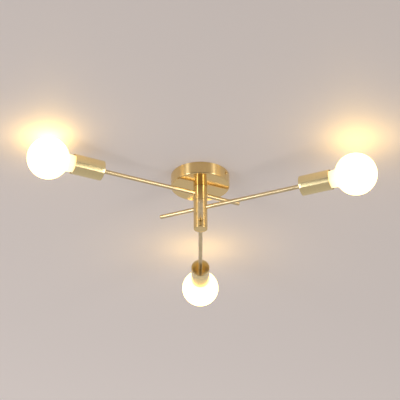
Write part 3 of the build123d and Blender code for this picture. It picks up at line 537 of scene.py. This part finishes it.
class BuildStem(bpy.types.Operator):
    """Turn the stem: three drilled blocks, the end cap and the threaded tube"""
    bl_idname = "ceiling_light.stem"
    bl_label = "Stem"
    bl_options = {"REGISTER", "UNDO"}

    def execute(self, context):
        sizes = context.scene.ceiling_light_sizes
        colours = context.scene.ceiling_light_colours
        brass = bpy.data.materials["Polished lacquered brass"]
        outer, bore, chamfer = sizes.stem_diameter / 2, 5.05 * MM, 0.3 * MM
        recess, washer, rod_clearance = 0.35 * MM, 10 * MM, 0.25 * MM
        for arm, (azimuth, height) in ARMS.items():
            top = -sizes.canopy_depth - (arm - 1) * sizes.block_pitch - sizes.block_seam
            bottom = -sizes.canopy_depth - arm * sizes.block_pitch
            if arm == len(ARMS):
                bottom += sizes.end_cap
            rings = [(bottom, bore), (bottom, outer - chamfer)]
            rings += spaced(bottom + chamfer, top - chamfer, outer, 16)
            rings += [(top, outer - chamfer), (top, washer), (top - recess, washer),
                      (top - recess, bore)]
            block = turned(f"stem_block_{arm}", rings, ring_shaped=True)
            for side in (0, 180):
                cut(block, sizes.rod_diameter / 2 + rod_clearance, ROD_SEAT, 2 * outer,
                    azimuth + side, height)
            dress(block, f"arm_{arm}", "polished_brass", brass, f"hub_{arm}")
        low = -sizes.canopy_depth - len(ARMS) * sizes.block_pitch
        high, edge = low + sizes.end_cap, 1.8 * MM
        # a ring on the cap's upper face fits into the lowest block
        ring, ring_top, ring_wall = 9.9 * MM, high + 2.5 * MM, MM
        rings = [(low, 0), (low, outer / 2)]
        rings += rounding((low + edge, outer - edge), edge, 180, 90)
        rings += [(high, outer), (high, ring), (ring_top, ring),
                  (ring_top, ring - ring_wall), (high, ring - ring_wall), (high, 0)]
        cap = turned("stem_cap", rings)
        dress(cap, f"arm_{len(ARMS)}", "polished_brass", brass, "stem_end_cap")

        base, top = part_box("stem_tube")[0].z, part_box("stem_tube")[1].z
        shoulder, tip_start = -sizes.canopy_depth, top - 0.6 * MM
        lead_way, crest, root, tip = 3.7 * MM, 5 * MM, 4.42 * MM, 4.1 * MM
        rings = [(base, lead_way), (base, crest), (shoulder, crest), (shoulder, root),
                 (tip_start, root), (top, tip), (top, lead_way)]
        tube = turned("tube_core", rings, ring_shaped=True, segments=64)
        pitch, turns = 1 * MM, 10
        thread = rolled_thread("tube_thread", shoulder - pitch / 2, turns, pitch,
                               root - THREAD_SINK, crest, points=6)
        brass = plain_metal("Machined brass", colours.plain_brass, 0.28, 0.08, 4 * MM)
        dress(joined("threaded_tube", [tube, thread]), "mount", "plain_brass", brass,
              "stem_tube")
        return {"FINISHED"}


class BuildArms(bpy.types.Operator):
    """Draw the arm rods and their rounded tails"""
    bl_idname = "ceiling_light.arms"
    bl_label = "Arms and tails"
    bl_options = {"REGISTER", "UNDO"}

    def execute(self, context):
        sizes = context.scene.ceiling_light_sizes
        colours = context.scene.ceiling_light_colours
        radius, inner, outer_end = sizes.rod_diameter / 2, 7.2 * MM, sizes.cup_back + 13.8 * MM
        thread, bore, edge = 4 * MM, 3 * MM, 1.4 * MM
        for arm in ARMS:
            brass = brushed_brass(colours, arm, "rod")
            rings = [(inner, bore), (inner, thread), (ROD_SEAT, thread)]
            rings += spaced(ROD_SEAT, sizes.cup_back, radius, 12)
            rings += [(sizes.cup_back, thread), (outer_end, thread), (outer_end, bore)]
            rod = turned(f"brass_arm_{arm}", rings, ring_shaped=True, segments=64)
            laid_along_arm(rod, arm)
            dress(rod, f"arm_{arm}", "brushed_brass", brass, f"arm_rod_{arm}")
            reach = sizes.tail_reach
            rings = [(-inner, 0), (-inner, thread), (-ROD_SEAT, thread)]
            rings += spaced(-ROD_SEAT, -reach + edge, radius, 6)
            rings += rounding((-reach + edge, radius - edge), edge, 90, 180)[1:] + [(-reach, 0)]
            tail = turned(f"brass_tail_{arm}", rings, segments=64)
            laid_along_arm(tail, arm)
            dress(tail, f"arm_{arm}", "brushed_brass", brass, f"tail_rod_{arm}")
        return {"FINISHED"}


class BuildCups(bpy.types.Operator):
    """Turn the socket cups with their rounded back edge and thin mouth"""
    bl_idname = "ceiling_light.cups"
    bl_label = "Socket cups"
    bl_options = {"REGISTER", "UNDO"}

    def execute(self, context):
        sizes = context.scene.ceiling_light_sizes
        colours = context.scene.ceiling_light_colours
        outer, wall, web, edge = sizes.cup_diameter / 2, MM, 3 * MM, 0.8 * MM
        hole, lip = 4.05 * MM, 0.2 * MM
        back, mouth = sizes.cup_back, sizes.cup_back + sizes.cup_length
        inner, floor = outer - wall, back + web
        rings = [(back, hole), (back, outer / 2), (back, outer - edge)]
        rings += rounding((back + edge, outer - edge), edge, 180, 90, 5)[1:]
        rings += spaced(back + edge, mouth - lip, outer, 12)[1:]
        rings += [(mouth, outer - lip), (mouth, inner + lip), (mouth - lip, inner)]
        rings += rounding((floor + edge, inner - edge), edge, 90, 180, 5)
        rings += [(floor, hole)]
        for arm in ARMS:
            cup = turned(f"brass_cup_{arm}", rings, ring_shaped=True, segments=96)
            laid_along_arm(cup, arm)
            dress(cup, f"arm_{arm}", "brushed_brass", brushed_brass(colours, arm, "cup"),
                  f"socket_cup_{arm}")
        return {"FINISHED"}


class BuildLamps(bpy.types.Operator):
    """Blow the lamps' glass and roll their screw caps"""
    bl_idname = "ceiling_light.lamps"
    bl_label = "Globe lamps"
    bl_options = {"REGISTER", "UNDO"}

    def glass_rings(self, sizes):
        """Rings of the glass: its root in the cap, the flare, the filleted neck, the ball."""
        ball, neck, centre = sizes.globe_diameter / 2, sizes.neck_diameter / 2, sizes.globe_centre
        root, fillet = 13.15 * MM, 8 * MM
        flare, flare_end = 270.4 * MM, 273.4 * MM
        root_end = flare - 1.5 * MM
        rings = [(root_end, 0), (root_end, root), (flare, root), (flare_end, neck)]
        # the fillet's centre is as far from the ball as from the neck
        reach = neck + fillet
        middle = centre - sqrt((ball + fillet) ** 2 - reach ** 2)
        turn = atan2(reach, centre - middle)
        rings += spaced(flare_end, middle, neck, 3)[1:]
        rings += rounding((middle, reach), fillet, -90, -degrees(turn))[1:]
        start = 180 - degrees(asin(reach / (ball + fillet)))
        rings += rounding((centre, 0), ball, start, 0, 44)[1:-1] + [(centre + ball, 0)]
        return rings

    def cap_rings(self, start, end, root, crest):
        """Rings of a cap's sheet: its rolled back, the thread's core, a step, the skirt."""
        back, back_inner, back_outer = start - 0.9 * MM, 11.1 * MM, 11.5 * MM
        skirt_end, skirt, skirt_inner, sheet = end + 3 * MM, 13.6 * MM, 13.2 * MM, 0.3 * MM
        return [(back, back_inner), (back, back_outer), (start, root), (end, root),
                (end + 0.2 * MM, crest), (end + 0.5 * MM, skirt), (skirt_end, skirt),
                (skirt_end, skirt_inner), (end + 0.7 * MM, skirt_inner), (end, root - sheet),
                (start, root - sheet)]

    def execute(self, context):
        sizes = context.scene.ceiling_light_sizes
        colours = context.scene.ceiling_light_colours
        nickel = plain_metal("Nickel plated brass", colours.nickel, 0.25, 0.08, 3 * MM)
        root, crest, turns = 12.15 * MM, 13.1 * MM, 4
        start, end = 251.35 * MM, 267.35 * MM
        for arm in ARMS:
            glass = turned(f"opal_globe_{arm}", self.glass_rings(sizes), segments=96)
            laid_along_arm(glass, arm)
            dress(glass, f"bulb_{arm}", "opal_glass", opal_glass(sizes, colours, arm),
                  f"bulb_globe_{arm}")
            shell = turned("cap_shell", self.cap_rings(start, end, root, crest),
                           ring_shaped=True, segments=64)
            thread = rolled_thread("cap_thread", start - MM, turns, sizes.thread_pitch,
                                   root - THREAD_SINK, crest)
            cap = joined(f"screw_cap_{arm}", [shell, thread])
            laid_along_arm(cap, arm)
            dress(cap, f"bulb_{arm}", "nickel_cap", nickel, f"bulb_cap_{arm}")
        return {"FINISHED"}


class FinishFittings(bpy.types.Operator):
    """Give the fittings that stay as they are in the frame their finishes"""
    bl_idname = "ceiling_light.fittings"
    bl_label = "Fittings"
    bl_options = {"REGISTER", "UNDO"}

    def execute(self, context):
        colours = context.scene.ceiling_light_colours
        finishes = {
            # hot rolled strip, bright zinc plated: bluish grey with a faint mottle
            "zinc_steel": plain_metal("Zinc plated steel", colours.zinc_steel, 0.38, 0.1, 5 * MM),
            "plain_brass": bpy.data.materials["Machined brass"],
            "polished_brass": bpy.data.materials["Polished lacquered brass"],
            # compression moulded, with a low gloss from its tool
            "phenolic": moulded("Phenolic moulding", colours.phenolic, 0.35, 1.5 * MM, 0.05),
            # pressed and fired without a glaze: chalky and slightly rough
            "ceramic": moulded("Unglazed porcelain", colours.porcelain, 0.6, 0.8 * MM, 0.15),
            # injection moulded and spark finished: an even, waxy half gloss
            "nylon": moulded("Polyamide moulding", colours.polyamide, 0.42, 0.6 * MM, 0.1),
            # extruded PVC: smooth with a slight sheen
            "lead_sleeve": moulded("PVC sleeve", colours.sleeve, 0.4, 2 * MM, 0.04),
            "earth_sleeve": earth_sleeve(colours),
            # fused black glass: deep gloss
            "black_glass": moulded("Fused black glass", linear("#0C0C0E"), 0.12, 2 * MM, 0.03),
            # tin solder, dull from its flux, with a rippled skin
            "solder": plain_metal("Tin solder", linear("#A9AAA8"), 0.45, 0.12, 1.5 * MM),
            # bare rolled aluminium
            "led_module": plain_metal("Rolled aluminium", linear("#D5D7D9"), 0.35, 0.08, 2 * MM),
        }
        for part in frame["record"]["subparts"]:
            node = frame["nodes"][part["node"]]
            if node.hide_render:
                continue
            finish = finishes[part["material_slot"]]
            node.data.materials.clear()
            node.data.materials.append(finish)
        return {"FINISHED"}


class BuildStage(bpy.types.Operator):
    """Set up the pale ceiling, the soft lights, the grey card, the world and the camera"""
    bl_idname = "ceiling_light.stage"
    bl_label = "Stage"
    bl_options = {"REGISTER", "UNDO"}

    def ceiling(self, colours):
        """Eggshell paint on a flat ceiling, seen only from below: its slight sheen widens the
        glow that the lamps leave on it."""
        bpy.ops.object.select_all(action="DESELECT")
        gap_above_mount = 0.3 * MM
        bpy.ops.mesh.primitive_plane_add(size=16, location=(0, 3, gap_above_mount),
                                         rotation=(pi, 0, 0))
        plane = bpy.context.active_object
        plane.name = "ceiling_plane"
        bpy.ops.object.transform_apply(location=True, rotation=True, scale=True)
        material, tree, shader = new_material("Eggshell paint")
        shader.inputs["Base Color"].default_value = (*colours.ceiling, 1)
        shader.inputs["Roughness"].default_value = 0.55
        shader.inputs["Specular IOR Level"].default_value = 0.15
        # what the eye and the metal see of the ceiling has a painted glow: an even pale backdrop,
        # with painted window light that makes it paler towards the room's far left
        place, far_left_way = object_place(tree), (-0.55, 0.83, 0.0)
        across = add_node(tree, "ShaderNodeVectorMath", {"operation": "DOT_PRODUCT"},
                          {1: far_left_way}, {0: place.outputs["Vector"]})
        backdrop_and_window_glow = add_node(tree, "ShaderNodeMapRange", None,
                            {"From Min": -0.65, "From Max": 1.5, "To Min": 0.28, "To Max": 0.53},
                            {"Value": across.outputs["Value"]})
        ray = add_node(tree, "ShaderNodeLightPath")
        glossy = add_node(tree, "ShaderNodeMath", {"operation": "ADD", "use_clamp": True}, None,
                          {0: ray.outputs["Is Camera Ray"], 1: ray.outputs["Is Glossy Ray"]})
        seen_ray = add_node(tree, "ShaderNodeMath", {"operation": "ADD", "use_clamp": True}, None,
                            {0: glossy.outputs["Value"], 1: ray.outputs["Is Transmission Ray"]})
        # painted light: the backdrop glow and painted window light, only for rays that see the
        # ceiling; the glow takes the paint's own colour
        paler = add_node(tree, "ShaderNodeMath", {"operation": "MULTIPLY"}, None,
                         {0: backdrop_and_window_glow.outputs["Result"], 1: seen_ray.outputs["Value"]})
        shader.inputs["Emission Color"].default_value = (*colours.ceiling, 1)
        tree.links.new(paler.outputs["Value"], shader.inputs["Emission Strength"])
        side = add_node(tree, "ShaderNodeNewGeometry")
        clear = add_node(tree, "ShaderNodeBsdfTransparent")
        seen = add_node(tree, "ShaderNodeMixShader", None, None,
                        {0: side.outputs["Backfacing"], 1: shader.outputs["BSDF"],
                         2: clear.outputs["BSDF"]})
        tree.links.new(seen.outputs["Shader"], tree.nodes["Material Output"].inputs["Surface"])
        plane.data.materials.append(material)

    def soft_light(self, name, place, power, colour):
        """A tall soft lamp that faces the light, out of every camera's sight."""
        bpy.ops.object.light_add(type="AREA", location=place)
        lamp = bpy.context.active_object
        lamp.name = name
        lamp.visible_camera = False
        width, height = 0.5, 2.3
        lamp.data.shape = "RECTANGLE"
        lamp.data.size = width
        lamp.data.size_y = height
        lamp.data.energy = power
        lamp.data.color = linear(colour)
        stem_middle = Vector((0, 0, -0.06))
        away = Vector(place) - stem_middle
        lamp.rotation_euler = away.to_track_quat("Z", "Y").to_euler()

    def grey_card(self, colours):
        """A matt grey card behind the camera: turned brass needs something darker to mirror
        between its bright bands. It is out of every camera's sight."""
        bpy.ops.object.select_all(action="DESELECT")
        width, height = 5.4, 3.8
        bpy.ops.mesh.primitive_plane_add(size=1, location=(0.1, -3.2, -1.9),
                                         rotation=(-pi / 2, 0, 0))
        card = bpy.context.active_object
        card.name = "grey_card"
        card.scale = (width, height, 1)
        bpy.ops.object.transform_apply(location=True, rotation=True, scale=True)
        card.visible_camera = False
        material, _, shader = new_material("Matt grey card")
        shader.inputs["Base Color"].default_value = (*colours.card, 1)
        shader.inputs["Roughness"].default_value = 0.9
        shader.inputs["Specular IOR Level"].default_value = 0.1
        card.data.materials.append(material)

    def world(self, context):
        """A pale room, a little paler towards its far side."""
        world = bpy.data.worlds.new("Pale room")
        context.scene.world = world
        world.use_nodes = True
        tree = world.node_tree
        room = tree.nodes["Background"]
        room.inputs["Color"].default_value = linear("#FFF8F4", 1)
        direction = add_node(tree, "ShaderNodeTexCoord")
        parts = add_node(tree, "ShaderNodeSeparateXYZ", None, None,
                         {"Vector": direction.outputs["Generated"]})
        depth = add_node(tree, "ShaderNodeMapRange", None, {"From Min": -1.0, "From Max": 1.0},
                         {"Value": parts.outputs["Y"]})
        curve = add_node(tree, "ShaderNodeMath", {"operation": "POWER"}, {1: 1.5},
                         {0: depth.outputs["Result"]})
        level = spread(tree, curve.outputs["Value"], 0.44, 0.54)
        tree.links.new(level.outputs["Result"], room.inputs["Strength"])

    def camera(self, context):
        """The photograph's camera: its distance, angle, roll and field of view."""
        distance, elevation, turn, roll = 2.1426, radians(28.53), radians(-0.3), radians(-0.5)
        forward = Vector((-sin(turn) * cos(elevation), cos(turn) * cos(elevation), sin(elevation)))
        aim = Vector((-0.00072, 0, -0.05487))
        bpy.ops.object.camera_add(location=aim - forward * distance)
        camera = bpy.context.active_object
        camera.rotation_mode = "QUATERNION"
        camera.rotation_quaternion = (forward.to_track_quat("-Z", "Y")
                                      @ Quaternion((0, 0, 1), roll))
        sensor, focal_pixels, picture_width = 36, 1056.8, 400
        camera.data.sensor_width = sensor
        camera.data.lens = sensor * focal_pixels / picture_width
        camera.data.clip_end = 50
        context.scene.camera = camera

    def execute(self, context):
        self.ceiling(context.scene.ceiling_light_colours)
        # two tall soft lamps beside the camera draw the bright bands on the turned brass
        self.soft_light("left_light", (-2.23, -2.0, -1.35), 23, "#F4F7FF")
        self.soft_light("right_light", (2.38, -1.83, -1.35), 21, "#FFFAF2")
        self.grey_card(context.scene.ceiling_light_colours)
        self.world(context)
        self.camera(context)
        context.scene.view_settings.view_transform = "Standard"
        return {"FINISHED"}


class CeilingLightPanel(bpy.types.Panel):
    """Lists the steps that build the light, with its sizes and colours."""
    bl_idname = "CEILING_LIGHT_PT_steps"
    bl_label = "Ceiling Light"
    bl_space_type = "VIEW_3D"
    bl_region_type = "UI"
    bl_category = "Ceiling Light"

    def draw(self, context):
        for step in STEPS:
            self.layout.operator(step.bl_idname)
        for group in (context.scene.ceiling_light_sizes, context.scene.ceiling_light_colours):
            box = self.layout.box()
            for name in group.__annotations__:
                box.prop(group, name)


STEPS = (BuildCanopy, BuildStem, BuildArms, BuildCups, BuildLamps, FinishFittings, BuildStage)
CLASSES = (CeilingLightSizes, CeilingLightColours, *STEPS, CeilingLightPanel)


def register():
    """Registers the classes and hangs the sizes and colours on the scene."""
    for new_class in CLASSES:
        bpy.utils.register_class(new_class)
    bpy.types.Scene.ceiling_light_sizes = PointerProperty(type=CeilingLightSizes)
    bpy.types.Scene.ceiling_light_colours = PointerProperty(type=CeilingLightColours)


def unregister():
    """Takes the classes and properties away again."""
    del bpy.types.Scene.ceiling_light_colours
    del bpy.types.Scene.ceiling_light_sizes
    for old_class in reversed(CLASSES):
        bpy.utils.unregister_class(old_class)


def main():
    """Builds the light step by step."""
    register()
    bpy.ops.ceiling_light.canopy()
    bpy.ops.ceiling_light.stem()
    bpy.ops.ceiling_light.arms()
    bpy.ops.ceiling_light.cups()
    bpy.ops.ceiling_light.lamps()
    bpy.ops.ceiling_light.fittings()
    bpy.ops.ceiling_light.stage()


if __name__ == "__main__":
    main()
